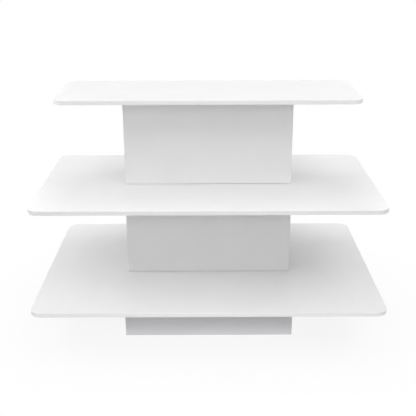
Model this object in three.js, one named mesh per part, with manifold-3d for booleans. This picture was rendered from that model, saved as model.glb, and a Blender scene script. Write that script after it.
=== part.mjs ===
// Three-tier display table: white shelves with rounded corners on two hollow boxes and a plinth.
// The boxes and shelves are held together by screws driven from below, so that no head shows,
// and four levelling feet sit in the corners of the plinth.
// Units are millimetres. +Z is up, X runs along the shelves and -Y is the front.
// The origin is on the floor, under the middle of the table.

import * as THREE from 'three';
import { mergeVertices } from 'three/addons/utils/BufferGeometryUtils.js';
import Module from 'manifold-3d';

const wasm = await Module();
wasm.setup();

// Driving dimensions: boards
const BOARD = 19;
const BAND = 2;
const SHELF_CORNER = 51;
const CORNER_STEPS = 12;
const SHELVES = {
  top: { width: 1320, depth: 450, surface: 1074 },
  middle: { width: 1524, depth: 833, surface: 650 },
  bottom: { width: 1524, depth: 1030, surface: 226 },
};

// Driving dimensions: boxes
const BOX_WIDTH = 760;
const UPPER_BOX_DEPTH = 122;
const MIDDLE_BOX_DEPTH = 200;
const PLINTH_DEPTH = 608;
const SHADOW_GAP = 1.5;

// Driving dimensions: screws, with their distances from the middle of the joint
const SCREW = { headRadius: 4.5, headHeight: 4, shankRadius: 2.5, length: 31, point: 2 };
const SOCKET = { radius: 2.3, depth: 2.5 };
const HOLE_GAP = 0.3;
const DRIVER_HOLE_RADIUS = 7;
const SHELF_SCREW_X = 300;
const WEB_SCREW_X = 250;
const UPPER_SCREW_Y = 20;
const MIDDLE_SCREW_Y = 50;
const PLINTH_SCREW_Y = 220;
const ROUND_SIDES = 10;
const HEX_SIDES = 6;

// How far a cutter runs past the face that it cuts
const PAST = 1;

// Driving dimensions: levelling feet, with heights above the underside of the pad
const FOOT_RECESS = 1;
const FOOT_BLOCK = 60;
const PAD = { footRadius: 17, topRadius: 14, height: 8, floor: 2.5, ceiling: 6.2, cavity: 6.4, neck: 4.6 };
const STEM = { radius: 4, collar: 6, length: 46, hexRadius: 7.5, hexHeight: 5 };
const INSERT = { flangeRadius: 10, flange: 1.5, barrelRadius: 5, barrel: 10, bore: 4.3 };
const FOOT_GAP = 0.3;
const STEM_ROOM = 4;
const FOOT_SIDES = 14;

// Materials
const whiteMelamine = { color: 0xefefef, roughness: 0.42, metalness: 0 };
const whiteEdging = { color: 0xf2f2f2, roughness: 0.38, metalness: 0 };
const rawBoard = { color: 0xc3a377, roughness: 0.85, metalness: 0 };
const zincSteel = { color: 0xb4b7ba, roughness: 0.35, metalness: 1 };
const blackNylon = { color: 0x202122, roughness: 0.6, metalness: 0 };

// Solids: closed meshes in, closed meshes out
function solidOf(geometry) {
  const bare = geometry.clone();
  bare.deleteAttribute('normal');
  bare.deleteAttribute('uv');
  const merged = mergeVertices(bare);
  return new wasm.Manifold(new wasm.Mesh({
    numProp: 3,
    vertProperties: new Float32Array(merged.attributes.position.array),
    triVerts: new Uint32Array(merged.index.array),
  }));
}

function geometryOf(solid) {
  const mesh = solid.getMesh();
  const geometry = new THREE.BufferGeometry();
  geometry.setAttribute('position', new THREE.BufferAttribute(mesh.vertProperties, 3));
  geometry.setIndex(new THREE.BufferAttribute(mesh.triVerts, 1));
  geometry.computeVertexNormals();
  return geometry;
}

function cut(geometry, cutters) {
  const remaining = cutters.reduce((solid, cutter) => solid.subtract(solidOf(cutter)), solidOf(geometry));
  return geometryOf(remaining);
}

function join(first, second) {
  return geometryOf(solidOf(first).add(solidOf(second)));
}

// An upright prism with a regular base, from z = low to z = high
function post(radius, low, high, sides) {
  const geometry = new THREE.CylinderGeometry(radius, radius, high - low, sides);
  geometry.rotateX(Math.PI / 2);
  geometry.translate(0, 0, (low + high) / 2);
  return geometry;
}

// A turned solid about Z from a profile of [radius, height] points
function turned(profile, sides) {
  const points = profile.map(([radius, height]) => new THREE.Vector2(radius, height));
  const geometry = new THREE.LatheGeometry(points, sides);
  geometry.rotateX(Math.PI / 2);
  return geometryOf(solidOf(geometry));
}

function roundedRectangle(width, depth, radius) {
  const x = width / 2 - radius;
  const y = depth / 2 - radius;
  const shape = new THREE.Shape();
  shape.absarc(x, y, radius, 0, Math.PI / 2);
  shape.absarc(-x, y, radius, Math.PI / 2, Math.PI);
  shape.absarc(-x, -y, radius, Math.PI, 1.5 * Math.PI);
  shape.absarc(x, -y, radius, 1.5 * Math.PI, 2 * Math.PI);
  shape.closePath();
  return shape;
}

function slab(shape) {
  return new THREE.ExtrudeGeometry(shape, {
    depth: BOARD,
    bevelEnabled: false,
    curveSegments: CORNER_STEPS,
  });
}

// Pieces and where they go
function addPiece(group, name, geometry, finish, x = 0, y = 0, z = 0) {
  const mesh = new THREE.Mesh(geometry, new THREE.MeshStandardMaterial(finish));
  mesh.name = name;
  mesh.position.set(x, y, z);
  group.add(mesh);
}

function groupAt(parent, z) {
  const group = new THREE.Group();
  group.position.z = z;
  parent.add(group);
  return group;
}

// The four mirrored places of whatever repeats in each corner
function corners(x, y) {
  return [
    { place: 'front_left', x: -x, y: -y },
    { place: 'front_right', x, y: -y },
    { place: 'back_left', x: -x, y },
    { place: 'back_right', x, y },
  ];
}

// Holes in a board whose underside is at z = 0
function drill(spots, radius, low, high, sides = ROUND_SIDES) {
  return spots.map(({ x, y }) => post(radius, low, high, sides).translate(x, y, 0));
}

// A counterbored hole that a screw goes right through
function screwHoles(spots) {
  return [
    ...drill(spots, SCREW.headRadius + HOLE_GAP, -PAST, SCREW.headHeight + HOLE_GAP),
    ...drill(spots, SCREW.shankRadius + HOLE_GAP, 0, BOARD + PAST),
  ];
}

// A blind hole that a screw ends in
function pilotHoles(spots) {
  return drill(spots, SCREW.shankRadius + HOLE_GAP, -PAST, SCREW.length - BOARD + 2 * HOLE_GAP);
}

const screwSpots = {
  topShelf: corners(WEB_SCREW_X, UPPER_SCREW_Y),
  upperBox: corners(SHELF_SCREW_X, UPPER_SCREW_Y),
  middleShelf: corners(WEB_SCREW_X, MIDDLE_SCREW_Y),
  middleBox: corners(SHELF_SCREW_X, MIDDLE_SCREW_Y),
  bottomShelf: corners(SHELF_SCREW_X, PLINTH_SCREW_Y),
};

// Shelves: a board and the band glued round its edge
function addShelf(parent, name, { width, depth, surface }, holes) {
  const group = groupAt(parent, surface - BOARD);
  const core = () => roundedRectangle(width - 2 * BAND, depth - 2 * BAND, SHELF_CORNER - BAND);
  addPiece(group, `${name}_shelf_board`, cut(slab(core()), holes), whiteMelamine);
  const ring = roundedRectangle(width, depth, SHELF_CORNER);
  ring.holes.push(core());
  addPiece(group, `${name}_shelf_edge_band`, slab(ring), whiteEdging);
}

// Boxes: front and back panels over the whole width, with the side panels between them
function addPanels(parent, name, depth, low, high) {
  const height = high - low;
  const middle = (low + high) / 2;
  const sideDepth = depth - 2 * BOARD;
  const faceY = (depth - BOARD) / 2;
  const sideX = (BOX_WIDTH - BOARD) / 2;
  const face = () => new THREE.BoxGeometry(BOX_WIDTH, BOARD, height);
  const side = () => new THREE.BoxGeometry(BOARD, sideDepth, height);
  addPiece(parent, `${name}_front_panel`, face(), whiteMelamine, 0, -faceY, middle);
  addPiece(parent, `${name}_back_panel`, face(), whiteMelamine, 0, faceY, middle);
  addPiece(parent, `${name}_left_panel`, side(), whiteMelamine, -sideX, 0, middle);
  addPiece(parent, `${name}_right_panel`, side(), whiteMelamine, sideX, 0, middle);
}

// A board that fills a box from wall to wall, with its underside at z = low
function addWeb(parent, name, depth, low, holes) {
  const web = new THREE.BoxGeometry(BOX_WIDTH - 2 * BOARD, depth - 2 * BOARD, BOARD);
  web.translate(0, 0, BOARD / 2);
  addPiece(parent, name, cut(web, holes), rawBoard, 0, 0, low);
}

// The bottom web takes the screws from the shelf below and lets a driver reach the top web's
function addBox(parent, name, depth, low, high, topSpots, bottomSpots) {
  const bottomHoles = [
    ...pilotHoles(bottomSpots),
    ...drill(topSpots, DRIVER_HOLE_RADIUS, -PAST, BOARD + PAST),
  ];
  addPanels(parent, name, depth, low + SHADOW_GAP, high);
  addWeb(parent, `${name}_top_web`, depth, high - BOARD, screwHoles(topSpots));
  addWeb(parent, `${name}_bottom_web`, depth, low, bottomHoles);
}

// Screws: a cylinder head with a hexagon socket, a shank and a short point, heads down
function screwGeometry() {
  const { headRadius, headHeight, shankRadius, length, point } = SCREW;
  const body = turned([
    [0, 0],
    [headRadius, 0],
    [headRadius, headHeight],
    [shankRadius, headHeight],
    [shankRadius, length - point],
    [0, length],
  ], ROUND_SIDES);
  return cut(body, [post(SOCKET.radius, -PAST, SOCKET.depth, HEX_SIDES)]);
}

function addScrews(parent, name, spots, z) {
  for (const { place, x, y } of spots) {
    addPiece(parent, `${name}_screw_${place}`, screwGeometry(), zincSteel, x, y, z);
  }
}

// Levelling feet: the pad stands on the floor and the stem turns in it and in the insert
function padGeometry() {
  const { footRadius, topRadius, height, floor, ceiling, cavity, neck } = PAD;
  return turned([
    [0, 0],
    [footRadius, 0],
    [footRadius, floor],
    [topRadius, height],
    [neck, height],
    [neck, ceiling],
    [cavity, ceiling],
    [cavity, floor],
    [0, floor],
  ], FOOT_SIDES);
}

const HEX_LOW = PAD.height + FOOT_GAP;
const INSERT_LOW = HEX_LOW + STEM.hexHeight + FOOT_GAP;
const BLOCK_LOW = INSERT_LOW + INSERT.flange;

function stemGeometry() {
  const low = PAD.floor + FOOT_GAP;
  const shoulder = PAD.ceiling - FOOT_GAP;
  const shaft = turned([
    [0, low],
    [STEM.collar, low],
    [STEM.collar, shoulder],
    [STEM.radius, shoulder],
    [STEM.radius, low + STEM.length],
    [0, low + STEM.length],
  ], FOOT_SIDES);
  return join(shaft, post(STEM.hexRadius, HEX_LOW, HEX_LOW + STEM.hexHeight, HEX_SIDES));
}

function insertGeometry() {
  const { flangeRadius, barrelRadius, barrel, bore } = INSERT;
  const flange = post(flangeRadius, INSERT_LOW, BLOCK_LOW, FOOT_SIDES);
  const tube = post(barrelRadius, BLOCK_LOW, BLOCK_LOW + barrel, FOOT_SIDES);
  return cut(join(flange, tube), [post(bore, 0, BLOCK_LOW + barrel + PAST, FOOT_SIDES)]);
}

function blockGeometry() {
  const block = new THREE.BoxGeometry(FOOT_BLOCK, FOOT_BLOCK, FOOT_BLOCK);
  block.translate(0, 0, BLOCK_LOW + FOOT_BLOCK / 2);
  const boreRadius = INSERT.barrelRadius + HOLE_GAP;
  const boreTop = PAD.floor + STEM.length + STEM_ROOM;
  return cut(block, [post(boreRadius, 0, boreTop, FOOT_SIDES)]);
}

function addFeet(parent) {
  const x = BOX_WIDTH / 2 - BOARD - FOOT_BLOCK / 2;
  const y = PLINTH_DEPTH / 2 - BOARD - FOOT_BLOCK / 2;
  for (const spot of corners(x, y)) {
    const foot = groupAt(parent, FOOT_RECESS);
    foot.position.x = spot.x;
    foot.position.y = spot.y;
    addPiece(foot, `foot_pad_${spot.place}`, padGeometry(), blackNylon);
    addPiece(foot, `foot_stem_${spot.place}`, stemGeometry(), zincSteel);
    addPiece(foot, `foot_insert_${spot.place}`, insertGeometry(), zincSteel);
    addPiece(foot, `plinth_corner_block_${spot.place}`, blockGeometry(), rawBoard);
  }
}

// The whole table, from the top down
const table = new THREE.Group();
const { top, middle, bottom } = SHELVES;
const undersideOf = (shelf) => shelf.surface - BOARD;

addShelf(table, 'top', top, pilotHoles(screwSpots.topShelf));
addShelf(table, 'middle', middle, [
  ...screwHoles(screwSpots.upperBox),
  ...pilotHoles(screwSpots.middleShelf),
]);
addShelf(table, 'bottom', bottom, [
  ...screwHoles(screwSpots.middleBox),
  ...pilotHoles(screwSpots.bottomShelf),
]);

addBox(table, 'upper_box', UPPER_BOX_DEPTH, middle.surface, undersideOf(top),
  screwSpots.topShelf, screwSpots.upperBox);
addBox(table, 'middle_box', MIDDLE_BOX_DEPTH, bottom.surface, undersideOf(middle),
  screwSpots.middleShelf, screwSpots.middleBox);
addPanels(table, 'plinth', PLINTH_DEPTH, 0, undersideOf(bottom));
addWeb(table, 'plinth_top_web', PLINTH_DEPTH, undersideOf(bottom) - BOARD,
  screwHoles(screwSpots.bottomShelf));

addScrews(table, 'upper_box_top', screwSpots.topShelf, undersideOf(top) - BOARD);
addScrews(table, 'middle_shelf', screwSpots.upperBox, undersideOf(middle));
addScrews(table, 'middle_box_top', screwSpots.middleShelf, undersideOf(middle) - BOARD);
addScrews(table, 'bottom_shelf', screwSpots.middleBox, undersideOf(bottom));
addScrews(table, 'plinth_top', screwSpots.bottomShelf, undersideOf(bottom) - BOARD);

addFeet(table);

export default table;
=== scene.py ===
# Looks of the three-tier display table: finishes, softened edges, floor, light and camera.
# Units are metres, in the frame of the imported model: +Z up, -Y front, floor at z = 0.

import math

import bmesh
import bpy
from mathutils import Euler, Matrix, Vector


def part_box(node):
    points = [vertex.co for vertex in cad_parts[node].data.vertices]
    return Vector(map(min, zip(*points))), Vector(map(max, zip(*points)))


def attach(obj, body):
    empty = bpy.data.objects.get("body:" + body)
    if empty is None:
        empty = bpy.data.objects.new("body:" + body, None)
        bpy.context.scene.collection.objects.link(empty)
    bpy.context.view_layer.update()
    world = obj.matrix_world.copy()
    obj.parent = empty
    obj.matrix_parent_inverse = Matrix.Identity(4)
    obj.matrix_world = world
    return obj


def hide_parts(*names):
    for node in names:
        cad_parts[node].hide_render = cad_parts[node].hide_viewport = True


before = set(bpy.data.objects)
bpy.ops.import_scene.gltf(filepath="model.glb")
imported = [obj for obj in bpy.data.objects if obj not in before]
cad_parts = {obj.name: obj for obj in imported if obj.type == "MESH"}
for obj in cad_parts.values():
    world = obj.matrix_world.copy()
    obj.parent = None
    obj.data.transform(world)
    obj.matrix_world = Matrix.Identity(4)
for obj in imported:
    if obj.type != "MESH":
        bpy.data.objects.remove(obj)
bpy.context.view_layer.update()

MM = 0.001

# Edges: points within WELD of each other count as one
BAND_ARRIS = 1.5 * MM
BAND_SEAM = 0.4 * MM
ARRIS_STEPS = 4
CORNER_STEPS = 12
PANEL_ARRIS = 0.6 * MM
BEVEL_STEPS = 3
WELD = 0.005 * MM
FLAT_WITHIN = math.radians(0.5)
SMOOTH_BELOW = math.radians(40)

# Hidden hardware, with heights rounded to LEVEL_DIGITS decimals of a metre
TURNED_EDGE = 0.4 * MM
TURNED_SIDES = 24
PAD_SIDES = 48
THREAD_STEPS = 6
STEM_PITCH = 1.25 * MM
STEM_THREAD_DEPTH = 0.65 * MM
BORE_THREAD_DEPTH = 0.3 * MM
SCREW_PITCH = 2.5 * MM
SCREW_THREAD_DEPTH = 0.7 * MM
SCREW_PLAIN_SHARE = 0.4
SCREW_TIP_RADIUS = 0.2 * MM
LEVEL_DIGITS = 5
HEXAGON_HALF_SIDE = math.pi / 6
PLACES = ("front_left", "front_right", "back_left", "back_right")
SCREW_ROWS = ("upper_box_top", "middle_shelf", "middle_box_top", "bottom_shelf", "plinth_top")

# Finishes: linear colours, and the noise values that stand for the low and the high end of a range
MELAMINE = (0.860, 0.860, 0.860)
MELAMINE_SHADE = (0.845, 0.845, 0.846)
PLINTH_MELAMINE = (0.852, 0.853, 0.872)
PLINTH_MELAMINE_SHADE = (0.838, 0.839, 0.858)
EDGING = (0.890, 0.890, 0.890)
EDGING_SHADE = (0.874, 0.874, 0.876)
CHIP = (0.68, 0.50, 0.30)
CHIP_SHADE = (0.42, 0.27, 0.14)
FIBRE = (1, 1, 1)
FIBRE_SHADE = (0.62, 0.58, 0.52)
FIBRE_SHARE = 0.6
ZINC = (0.66, 0.68, 0.70)
ZINC_SHADE = (0.54, 0.56, 0.58)
NYLON = (0.026, 0.026, 0.027)
NYLON_SHADE = (0.016, 0.016, 0.017)
NOISE_LOW = 0.3
NOISE_HIGH = 0.7

# Camera, as fitted to the edges of the shelves and boxes in the photograph, with its lens in millimetres
LENS = 63.91
SENSOR = 36.0
CAMERA_PLACE = (-0.0015, -3.2876, 1.7278)
CAMERA_PITCH = math.radians(20.335)
CAMERA_ROLL = -0.0035

# Floor: FLOOR_BOUNCE is its colour for the light that it throws back at the table. A share of the table's
# shadow is seen on it, and fades to white between two distances from its middle.
FLOOR_SIZE = 80.0
FLOOR_COLOUR = (0.90, 0.90, 0.90)
FLOOR_BOUNCE = (0.50, 0.50, 0.50)
SHADOW_SHARE = 0.13
SHADOW_REACH = 0.7
WHITE_BEYOND = 1.3

# Lamps: soft discs on a dome about the table, each placed by its azimuth from the front towards +X and by its
# elevation, in degrees
LAMP_DISTANCE = 4.5
LAMP_AIM = Vector((0, 0, 0.5))
LAMP_SIZE = 2.4
LAMPS = {
    "overhead_lamp": {"azimuth": 0, "elevation": 90, "size": 5.0, "power": 51},
    "front_low_lamp": {"azimuth": 0, "elevation": 15, "power": 20},
    "front_lamp": {"azimuth": 0, "elevation": 24, "size": 1.4, "power": 22},
    "front_left_lamp": {"azimuth": -40, "elevation": 32, "power": 16},
    "front_right_lamp": {"azimuth": 40, "elevation": 32, "power": 20},
    "front_left_high_lamp": {"azimuth": -40, "elevation": 50, "power": 26},
    "front_right_high_lamp": {"azimuth": 40, "elevation": 50, "power": 39},
    "left_low_lamp": {"azimuth": -90, "elevation": 15, "power": 36},
    "left_high_lamp": {"azimuth": -90, "elevation": 50, "power": 24},
    "right_high_lamp": {"azimuth": 90, "elevation": 50, "power": 29},
    "back_high_lamp": {"azimuth": 180, "elevation": 68, "power": 34},
}

# Panels of light close behind and beside the table, which stand for the walls of a small studio
PANEL_AIM = Vector((0, 0, 0.6))
PANELS = {
    "back_panel": {"place": (0, 1.3, 0.6), "width": 2.6, "height": 1.0, "power": 8.8},
    "left_panel": {"place": (-1.4, 0, 1.1), "width": 1.2, "height": 0.6, "power": 2.6},
    "right_panel": {"place": (1.4, 0, 1.1), "width": 1.2, "height": 0.6, "power": 1.6},
}

# Strips of light low along the sides of some nodes, which stand for light from a white floor. The gap is from
# a side to the middle of its strip. The lean turns a strip from facing the table, through up, to facing away.
STRIP_RINGS = {
    "base_strip": {
        "round": ("plinth_front_panel", "plinth_back_panel"),
        "sides": ("front", "right", "back", "left"),
        "width": 0.05,
        "gap": 0.025,
        "height": 0.002,
        "lean": math.radians(90),
        "power_per_metre": 0.1,
    },
    "edge_strip": {
        "round": ("bottom_shelf_edge_band",),
        "sides": ("front",),
        "width": 0.02,
        "gap": 0.235,
        "height": 0.020,
        "lean": math.radians(114),
        "power_per_metre": 1.75,
    },
}
OUTWARD = {
    "front": Vector((0, -1, 0)),
    "right": Vector((1, 0, 0)),
    "back": Vector((0, 1, 0)),
    "left": Vector((-1, 0, 0)),
}


# Node helpers
def add_node(tree, kind, **settings):
    node = tree.nodes.new(kind)
    for name, value in settings.items():
        setattr(node, name, value)
    return node


def new_material(name):
    material = bpy.data.materials.new(name)
    material.use_nodes = True
    tree = material.node_tree
    return material, tree, tree.nodes["Principled BSDF"]


def noise(tree, scale, detail, stretch=(1, 1, 1)):
    """Noise over the object's own coordinates, with the scale in cells per metre."""
    place = add_node(tree, "ShaderNodeTexCoord")
    mapping = add_node(tree, "ShaderNodeMapping")
    mapping.inputs["Scale"].default_value = stretch
    texture = add_node(tree, "ShaderNodeTexNoise")
    texture.inputs["Scale"].default_value = scale
    texture.inputs["Detail"].default_value = detail
    tree.links.new(place.outputs["Object"], mapping.inputs["Vector"])
    tree.links.new(mapping.outputs["Vector"], texture.inputs["Vector"])
    return texture.outputs["Fac"]


def chips(tree, scale):
    """A shade for each chip of a pressed board, with the scale in chips per metre."""
    place = add_node(tree, "ShaderNodeTexCoord")
    cells = add_node(tree, "ShaderNodeTexVoronoi")
    cells.inputs["Scale"].default_value = scale
    shade = add_node(tree, "ShaderNodeSeparateColor")
    tree.links.new(place.outputs["Object"], cells.inputs["Vector"])
    tree.links.new(cells.outputs["Color"], shade.inputs["Color"])
    return shade.outputs["Red"]


def two_tone(tree, value, low_colour, high_colour, low=0.35, high=0.65):
    ramp = add_node(tree, "ShaderNodeValToRGB")
    for stop, position, colour in zip(ramp.color_ramp.elements, (low, high), (low_colour, high_colour)):
        stop.position = position
        stop.color = (*colour, 1)
    tree.links.new(value, ramp.inputs["Fac"])
    return ramp.outputs["Color"]


def spread(tree, value, low, high):
    spread_node = add_node(tree, "ShaderNodeMapRange")
    spread_node.inputs["From Min"].default_value = NOISE_LOW
    spread_node.inputs["From Max"].default_value = NOISE_HIGH
    spread_node.inputs["To Min"].default_value = low
    spread_node.inputs["To Max"].default_value = high
    tree.links.new(value, spread_node.inputs["Value"])
    return spread_node.outputs["Result"]


def bump(tree, height, depth, strength):
    bump_node = add_node(tree, "ShaderNodeBump")
    bump_node.inputs["Strength"].default_value = strength
    bump_node.inputs["Distance"].default_value = depth
    tree.links.new(height, bump_node.inputs["Height"])
    return bump_node.outputs["Normal"]


# Finishes
def dress(tree, shader, colour, roughness, relief):
    tree.links.new(colour, shader.inputs["Base Color"])
    tree.links.new(roughness, shader.inputs["Roughness"])
    tree.links.new(relief, shader.inputs["Normal"])


def white_melamine(name, light, shade):
    material, tree, shader = new_material(name)
    colour = two_tone(tree, noise(tree, scale=7, detail=3), shade, light)
    roughness = spread(tree, noise(tree, scale=16, detail=3), low=0.40, high=0.48)
    relief = bump(tree, noise(tree, scale=900, detail=2), depth=0.02 * MM, strength=0.25)
    dress(tree, shader, colour, roughness, relief)
    return material


def white_edging():
    material, tree, shader = new_material("white_edging_finish")
    colour = two_tone(tree, noise(tree, scale=12, detail=2), EDGING_SHADE, EDGING)
    roughness = spread(tree, noise(tree, scale=25, detail=2), low=0.36, high=0.44)
    grain = noise(tree, scale=60, detail=3, stretch=(1, 1, 40))
    relief = bump(tree, grain, depth=0.02 * MM, strength=0.2)
    dress(tree, shader, colour, roughness, relief)
    return material


def raw_board():
    """Chipboard: chips of several browns, pressed flat, with fine fibres over them."""
    material, tree, shader = new_material("raw_board_finish")
    fibres = noise(tree, scale=350, detail=4)
    colour = add_node(tree, "ShaderNodeMixRGB", blend_type="MULTIPLY")
    colour.inputs["Fac"].default_value = FIBRE_SHARE
    chip_colour = two_tone(tree, chips(tree, scale=160), CHIP_SHADE, CHIP, low=0.1, high=0.9)
    tree.links.new(chip_colour, colour.inputs["Color1"])
    tree.links.new(two_tone(tree, fibres, FIBRE_SHADE, FIBRE), colour.inputs["Color2"])
    roughness = spread(tree, noise(tree, scale=200, detail=3), low=0.75, high=0.92)
    relief = bump(tree, fibres, depth=0.2 * MM, strength=0.6)
    dress(tree, shader, colour.outputs["Color"], roughness, relief)
    return material


def zinc_steel():
    material, tree, shader = new_material("zinc_steel_finish")
    shader.inputs["Metallic"].default_value = 1
    colour = two_tone(tree, noise(tree, scale=120, detail=3), ZINC_SHADE, ZINC)
    roughness = spread(tree, noise(tree, scale=300, detail=3), low=0.28, high=0.42)
    relief = bump(tree, noise(tree, scale=2500, detail=2), depth=0.01 * MM, strength=0.3)
    dress(tree, shader, colour, roughness, relief)
    return material


def black_nylon():
    material, tree, shader = new_material("black_nylon_finish")
    colour = two_tone(tree, noise(tree, scale=150, detail=3), NYLON_SHADE, NYLON)
    roughness = spread(tree, noise(tree, scale=400, detail=2), low=0.5, high=0.62)
    relief = bump(tree, noise(tree, scale=2000, detail=2), depth=0.03 * MM, strength=0.4)
    dress(tree, shader, colour, roughness, relief)
    return material


FINISHES = {
    "white_melamine": white_melamine("white_melamine_finish", MELAMINE, MELAMINE_SHADE),
    "white_edging": white_edging(),
    "raw_board": raw_board(),
    "zinc_steel": zinc_steel(),
    "black_nylon": black_nylon(),
}
PLINTH_FINISH = white_melamine("cool_melamine_finish", PLINTH_MELAMINE, PLINTH_MELAMINE_SHADE)


def finish_of(node):
    """The finish of a node's slot, where the plinth's panels are a cooler white than the rest."""
    if node.startswith("plinth_") and node.endswith("_panel"):
        return PLINTH_FINISH
    return FINISHES[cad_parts[node].data.materials[0].name]


for node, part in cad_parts.items():
    finish = finish_of(node)
    part.material_slots[0].link = "OBJECT"
    part.material_slots[0].material = finish


# Softened edges on the carried-over nodes
def smooth_by_angle():
    """A modifier group that shades faces smooth, with hard lines at the sharper edges."""
    group = bpy.data.node_groups.new("smooth_by_angle", "GeometryNodeTree")
    group.interface.new_socket("Geometry", in_out="INPUT", socket_type="NodeSocketGeometry")
    group.interface.new_socket("Geometry", in_out="OUTPUT", socket_type="NodeSocketGeometry")
    start = group.nodes.new("NodeGroupInput")
    end = group.nodes.new("NodeGroupOutput")
    faces = group.nodes.new("GeometryNodeSetShadeSmooth")
    edges = group.nodes.new("GeometryNodeSetShadeSmooth")
    edges.domain = "EDGE"
    edges.inputs["Shade Smooth"].default_value = False
    angle = group.nodes.new("GeometryNodeInputMeshEdgeAngle")
    sharper = group.nodes.new("FunctionNodeCompare")
    sharper.operation = "GREATER_THAN"
    sharper.inputs["B"].default_value = SMOOTH_BELOW
    group.links.new(angle.outputs["Unsigned Angle"], sharper.inputs["A"])
    group.links.new(sharper.outputs["Result"], edges.inputs["Selection"])
    group.links.new(start.outputs["Geometry"], faces.inputs["Geometry"])
    group.links.new(faces.outputs["Geometry"], edges.inputs["Geometry"])
    group.links.new(edges.outputs["Geometry"], end.inputs["Geometry"])
    return group


SMOOTH_GROUP = smooth_by_angle()


def shade_smooth(part):
    """Smooth curves, with the large flat faces kept flat."""
    smooth = part.modifiers.new("smooth", "NODES")
    smooth.node_group = SMOOTH_GROUP
    weighted = part.modifiers.new("flat_faces_stay_flat", "WEIGHTED_NORMAL")
    weighted.keep_sharp = True


def soften(part, width=None):
    """Joins the loose triangles of a node, rounds its edges and shades its curves smooth."""
    weld = part.modifiers.new("weld", "WELD")
    weld.merge_threshold = WELD
    if width:
        flat = part.modifiers.new("flat_faces", "DECIMATE")
        flat.decimate_type = "DISSOLVE"
        flat.angle_limit = FLAT_WITHIN
        bevel = part.modifiers.new("arris", "BEVEL")
        bevel.width = width
        bevel.segments = BEVEL_STEPS
        bevel.limit_method = "ANGLE"
        bevel.angle_limit = SMOOTH_BELOW
    shade_smooth(part)


for node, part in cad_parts.items():
    if node.endswith("_panel"):
        soften(part, PANEL_ARRIS)
    else:
        soften(part)


# New pieces
def add_mesh(name, bm, slot, body, *nodes):
    """Makes a mesh piece that rides on a body and stands for the given nodes."""
    bmesh.ops.recalc_face_normals(bm, faces=bm.faces)
    mesh = bpy.data.meshes.new(name)
    bm.to_mesh(mesh)
    bm.free()
    mesh.materials.append(FINISHES[slot])
    piece = bpy.data.objects.new(name, mesh)
    bpy.context.scene.collection.objects.link(piece)
    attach(piece, body)
    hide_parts(*nodes)
    shade_smooth(piece)


def skin(bm, loops, closed):
    """Joins each loop of points to the next, and the last to the first where the skin is closed."""
    following = loops[1:] + loops[:1] if closed else loops[1:]
    for here, there in zip(loops, following):
        for i, point in enumerate(here):
            j = (i + 1) % len(here)
            bm.faces.new((point, there[i], there[j], here[j]))


# Edge bands, with rounded outer edges
def quarter(centre, radius, start):
    """Points of a quarter circle in the section of a band, from the angle start, in quarter turns."""
    return [
        (
            centre[0] + radius * math.cos((start + step / ARRIS_STEPS) * math.pi / 2),
            centre[1] + radius * math.sin((start + step / ARRIS_STEPS) * math.pi / 2),
        )
        for step in range(ARRIS_STEPS + 1)
    ]


def band_section(thickness, height):
    """Section of a band as (outward, up), with the seam edges just broken and the outer edges round."""
    return [
        (0, BAND_SEAM),
        (BAND_SEAM, 0),
        *quarter((thickness - BAND_ARRIS, BAND_ARRIS), BAND_ARRIS, -1),
        *quarter((thickness - BAND_ARRIS, height - BAND_ARRIS), BAND_ARRIS, 0),
        (BAND_SEAM, height),
        (0, height - BAND_SEAM),
    ]


def corner_path(low, high, radius):
    """Points and outward directions round a rectangle with round corners."""
    centres = [
        (high.x - radius, high.y - radius),
        (low.x + radius, high.y - radius),
        (low.x + radius, low.y + radius),
        (high.x - radius, low.y + radius),
    ]
    path = []
    for corner, (x, y) in enumerate(centres):
        for step in range(CORNER_STEPS + 1):
            angle = (corner + step / CORNER_STEPS) * math.pi / 2
            out = Vector((math.cos(angle), math.sin(angle), 0))
            path.append((Vector((x, y, 0)) + out * radius, out))
    return path


def corner_radius(node):
    """The radius of a shelf's corners, from the end of the straight stretch of its front edge."""
    low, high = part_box(node)
    front = [v.co.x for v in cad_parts[node].data.vertices if v.co.y < low.y + WELD]
    return high.x - max(front)


def add_edge_band(shelf):
    board = f"{shelf}_shelf_board"
    band = f"{shelf}_shelf_edge_band"
    board_low, board_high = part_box(board)
    band_low, band_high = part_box(band)
    section = band_section(band_high.x - board_high.x, band_high.z - band_low.z)
    bm = bmesh.new()
    rings = []
    for point, out in corner_path(board_low, board_high, corner_radius(board)):
        ring = [point + out * outward + Vector((0, 0, band_low.z + up)) for outward, up in section]
        rings.append([bm.verts.new(place) for place in ring])
    skin(bm, rings, closed=True)
    add_mesh(f"{shelf}_shelf_rounded_band", bm, "white_edging", "table", band)


for shelf in ("top", "middle", "bottom"):
    add_edge_band(shelf)


# Turned hardware: rings of points about an upright axis, each a height and a radius by angle
def levels(node):
    """Heights of a turned node above its underside, each with the least and the greatest radius there."""
    low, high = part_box(node)
    middle = (low + high) / 2
    radii = {}
    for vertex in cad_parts[node].data.vertices:
        height = round(vertex.co.z - low.z, LEVEL_DIGITS)
        radii.setdefault(height, []).append(math.hypot(vertex.co.x - middle.x, vertex.co.y - middle.y))
    return [(height, min(radii[height]), max(radii[height])) for height in sorted(radii)]


def circle(radius):
    return lambda angle: radius


def hexagon(corner):
    half = HEXAGON_HALF_SIDE
    flat = corner * math.cos(half)
    return lambda angle: flat / math.cos((angle + half) % (2 * half) - half)


def thread_radius(turn, crest, root):
    """The radius by angle of a thread's ring, at a height in turns from where the thread starts."""
    def radius(angle):
        phase = (turn - angle / (2 * math.pi)) % 1
        return crest + (root - crest) * abs(2 * phase - 1)
    return radius


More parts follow.
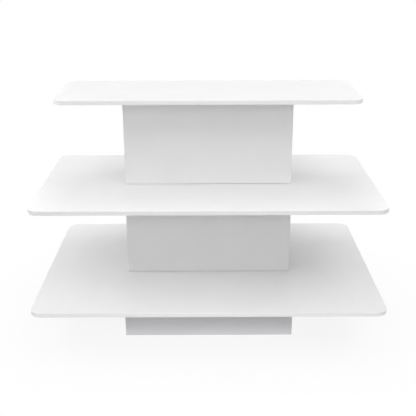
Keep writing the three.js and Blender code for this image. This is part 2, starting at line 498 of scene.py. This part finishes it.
def thread(low, high, crest, root, pitch):
    """Rings of a right-hand thread, which runs out into the plain ends."""
    rings = [(low, circle(crest))]
    steps = int((high - low) / pitch * THREAD_STEPS)
    for step in range(1, steps):
        turn = step / THREAD_STEPS
        rings.append((low + turn * pitch, thread_radius(turn, crest, root)))
    rings.append((high, circle(root)))
    return rings


def add_turned(name, rings, sides, slot, body, node, hollow=False):
    """Makes a piece from rings on a node's axis: capped at its ends, or open right through."""
    low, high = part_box(node)
    axis = Vector(((low.x + high.x) / 2, (low.y + high.y) / 2, low.z))
    bm = bmesh.new()
    loops = []
    for height, radius in rings:
        loop = []
        for step in range(sides):
            angle = 2 * math.pi * step / sides
            out = Vector((math.cos(angle), math.sin(angle), 0))
            loop.append(bm.verts.new(axis + out * radius(angle) + Vector((0, 0, height))))
        loops.append(loop)
    skin(bm, loops, closed=hollow)
    if not hollow:
        bm.faces.new(loops[0])
        bm.faces.new(loops[-1])
    add_mesh(name, bm, slot, body, node)


def rim(height, radius, side):
    """Two rings of a broken edge: side is 1 where the edge ends a face below it, and -1 above it."""
    inset = (height, circle(radius - TURNED_EDGE))
    full = (height - side * TURNED_EDGE, circle(radius))
    return [full, inset] if side > 0 else [inset, full]


def add_pad(place):
    node = f"foot_pad_{place}"
    (_, _, foot), (floor, _, _), (ceiling, neck, cavity), (top, _, crown) = levels(node)
    rings = [
        *rim(0, foot, -1),
        (floor, circle(foot)),
        *rim(top, crown, 1),
        (top, circle(neck + TURNED_EDGE)),
        (top - TURNED_EDGE, circle(neck)),
        (ceiling, circle(neck)),
        (ceiling, circle(cavity)),
        (floor, circle(cavity)),
    ]
    add_turned(f"swivel_pad_{place}", rings, PAD_SIDES, "black_nylon", f"pad_{place}", node)


def add_stem(place):
    node = f"foot_stem_{place}"
    (_, _, collar), (shoulder, shaft, _), (nut_low, _, corner), (nut_high, _, _), (end, _, _) = levels(node)
    flat = corner * math.cos(HEXAGON_HALF_SIDE)
    root = shaft - STEM_THREAD_DEPTH
    rings = [
        *rim(0, collar, -1),
        *rim(shoulder, collar, 1),
        (shoulder, circle(root)),
        (nut_low, circle(root)),
        (nut_low, circle(flat)),
        (nut_low + TURNED_EDGE, hexagon(corner)),
        (nut_high - TURNED_EDGE, hexagon(corner)),
        (nut_high, circle(flat)),
        (nut_high, circle(shaft)),
        *thread(nut_high + TURNED_EDGE, end - TURNED_EDGE, shaft, root, STEM_PITCH),
        (end, circle(root - TURNED_EDGE)),
    ]
    add_turned(f"threaded_stem_{place}", rings, TURNED_SIDES, "zinc_steel", f"stem_{place}", node)


def add_insert(place):
    node = f"foot_insert_{place}"
    (_, bore, flange), (seat, barrel, _), (end, _, _) = levels(node)
    inner = thread(TURNED_EDGE, end - TURNED_EDGE, bore, bore + BORE_THREAD_DEPTH, STEM_PITCH)
    rings = [
        *rim(0, flange, -1),
        *rim(seat, flange, 1),
        (seat, circle(barrel)),
        (end, circle(barrel)),
        *reversed(inner),
    ]
    add_turned(f"threaded_insert_{place}", rings, TURNED_SIDES, "zinc_steel", "table", node, hollow=True)


def add_screw(row, place):
    node = f"{row}_screw_{place}"
    (_, _, head), (socket_floor, _, socket), (neck, shank, _), (point, _, _), (tip, _, _) = levels(node)
    plain = neck + SCREW_PLAIN_SHARE * (point - neck)
    root = shank - SCREW_THREAD_DEPTH
    rings = [
        (socket_floor, hexagon(socket)),
        (TURNED_EDGE, hexagon(socket)),
        (0, circle(socket + TURNED_EDGE)),
        *rim(0, head, -1),
        *rim(neck, head, 1),
        (neck, circle(shank)),
        *thread(plain, point, shank, root, SCREW_PITCH),
        (tip, circle(SCREW_TIP_RADIUS)),
    ]
    add_turned(f"{row}_socket_screw_{place}", rings, TURNED_SIDES, "zinc_steel", "table", node)


for place in PLACES:
    add_pad(place)
    add_stem(place)
    add_insert(place)
    for row in SCREW_ROWS:
        add_screw(row, place)


# Floor: white where it is seen, with the table's shadow still on it
def floor_finish():
    material = bpy.data.materials.new("floor_finish")
    material.use_nodes = True
    tree = material.node_tree
    tree.nodes.clear()
    bounce = add_node(tree, "ShaderNodeBsdfDiffuse")
    bounce.inputs["Color"].default_value = (*FLOOR_BOUNCE, 1)
    shadowed = add_node(tree, "ShaderNodeBsdfDiffuse")
    shadowed.inputs["Color"].default_value = (*FLOOR_COLOUR, 1)
    white = add_node(tree, "ShaderNodeEmission")
    seen = mix_shaders(tree, whitening(tree), shadowed.outputs["BSDF"], white.outputs["Emission"])
    surface = mix_shaders(tree, seen_directly(tree), bounce.outputs["BSDF"], seen)
    output = add_node(tree, "ShaderNodeOutputMaterial")
    tree.links.new(surface, output.inputs["Surface"])
    return material


def mix_shaders(tree, share, first, second):
    mix = add_node(tree, "ShaderNodeMixShader")
    tree.links.new(share, mix.inputs["Fac"])
    tree.links.new(first, mix.inputs[1])
    tree.links.new(second, mix.inputs[2])
    return mix.outputs["Shader"]


def whitening(tree):
    """How white the floor is made where it is seen: nearly white at the table, and white further out."""
    place = add_node(tree, "ShaderNodeTexCoord")
    distance = add_node(tree, "ShaderNodeVectorMath", operation="LENGTH")
    fade = add_node(tree, "ShaderNodeMapRange")
    fade.inputs["From Min"].default_value = SHADOW_REACH
    fade.inputs["From Max"].default_value = WHITE_BEYOND
    fade.inputs["To Min"].default_value = 1 - SHADOW_SHARE
    fade.inputs["To Max"].default_value = 1
    tree.links.new(place.outputs["Object"], distance.inputs[0])
    tree.links.new(distance.outputs["Value"], fade.inputs["Value"])
    return fade.outputs["Result"]


def seen_directly(tree):
    """1 for a ray from the camera, a mirror or glass, and 0 for the light that falls on the table."""
    path = add_node(tree, "ShaderNodeLightPath")
    camera_or_mirror = add_node(tree, "ShaderNodeMath", operation="MAXIMUM")
    or_glass = add_node(tree, "ShaderNodeMath", operation="MAXIMUM")
    tree.links.new(path.outputs["Is Camera Ray"], camera_or_mirror.inputs[0])
    tree.links.new(path.outputs["Is Glossy Ray"], camera_or_mirror.inputs[1])
    tree.links.new(camera_or_mirror.outputs["Value"], or_glass.inputs[0])
    tree.links.new(path.outputs["Is Transmission Ray"], or_glass.inputs[1])
    return or_glass.outputs["Value"]


def add_floor():
    bm = bmesh.new()
    bmesh.ops.create_grid(bm, x_segments=1, y_segments=1, size=FLOOR_SIZE / 2)
    mesh = bpy.data.meshes.new("floor")
    bm.to_mesh(mesh)
    bm.free()
    mesh.materials.append(floor_finish())
    floor = bpy.data.objects.new("floor", mesh)
    bpy.context.scene.collection.objects.link(floor)


def add_world():
    """White where it is seen, and dark to the table, which the lamps light."""
    world = bpy.data.worlds.new("studio")
    world.use_nodes = True
    tree = world.node_tree
    background = tree.nodes["Background"]
    background.inputs["Color"].default_value = (1, 1, 1, 1)
    tree.links.new(seen_directly(tree), background.inputs["Strength"])
    bpy.context.scene.world = world


def on_dome(azimuth, elevation):
    around = math.radians(azimuth)
    up = math.radians(elevation)
    away = Vector((math.sin(around) * math.cos(up), -math.cos(around) * math.cos(up), math.sin(up)))
    return LAMP_AIM + away * LAMP_DISTANCE


def add_lamp(name, place, turn, power, **settings):
    data = bpy.data.lights.new(name, "AREA")
    data.energy = power
    for setting, value in settings.items():
        setattr(data, setting, value)
    lamp = bpy.data.objects.new(name, data)
    lamp.location = place
    lamp.rotation_euler = turn.to_euler()
    lamp.visible_camera = False
    lamp.visible_glossy = False
    bpy.context.scene.collection.objects.link(lamp)


def turned_to(aim, place):
    return (aim - place).to_track_quat("-Z", "Y")


def add_lamps():
    for name, lamp in LAMPS.items():
        place = on_dome(lamp["azimuth"], lamp["elevation"])
        turn = turned_to(LAMP_AIM, place)
        add_lamp(name, place, turn, lamp["power"], shape="DISK", size=lamp.get("size", LAMP_SIZE))


def add_panels():
    for name, panel in PANELS.items():
        place = Vector(panel["place"])
        turn = turned_to(PANEL_AIM, place)
        sides = {"size": panel["width"], "size_y": panel["height"]}
        add_lamp(name, place, turn, panel["power"], shape="RECTANGLE", **sides)


def add_strips(name, ring):
    """Strips along the sides of the box about some nodes."""
    corners = [corner for node in ring["round"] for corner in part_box(node)]
    half = Vector((max(corner.x for corner in corners), max(corner.y for corner in corners), 0))
    for side in ring["sides"]:
        out = OUTWARD[side]
        along = Vector((-out.y, out.x, 0))
        facing = Vector((0, 0, math.sin(ring["lean"]))) - out * math.cos(ring["lean"])
        turn = Matrix((along, along.cross(facing), -facing)).transposed()
        length = 2 * (abs(along.dot(half)) + ring["gap"])
        place = out * (abs(out.dot(half)) + ring["gap"]) + Vector((0, 0, ring["height"]))
        power = ring["power_per_metre"] * length
        add_lamp(f"{name}_{side}", place, turn, power, shape="RECTANGLE", size=length, size_y=ring["width"])


def add_camera():
    data = bpy.data.cameras.new("camera")
    data.lens = LENS
    data.sensor_width = SENSOR
    camera = bpy.data.objects.new("camera", data)
    turn = Euler((math.pi / 2 - CAMERA_PITCH, 0, 0)).to_matrix() @ Matrix.Rotation(CAMERA_ROLL, 3, "Z")
    camera.location = CAMERA_PLACE
    camera.rotation_euler = turn.to_euler()
    bpy.context.scene.collection.objects.link(camera)
    bpy.context.scene.camera = camera


add_floor()
add_world()
add_lamps()
add_panels()
for name, ring in STRIP_RINGS.items():
    add_strips(name, ring)
add_camera()
bpy.context.scene.view_settings.view_transform = "Standard"
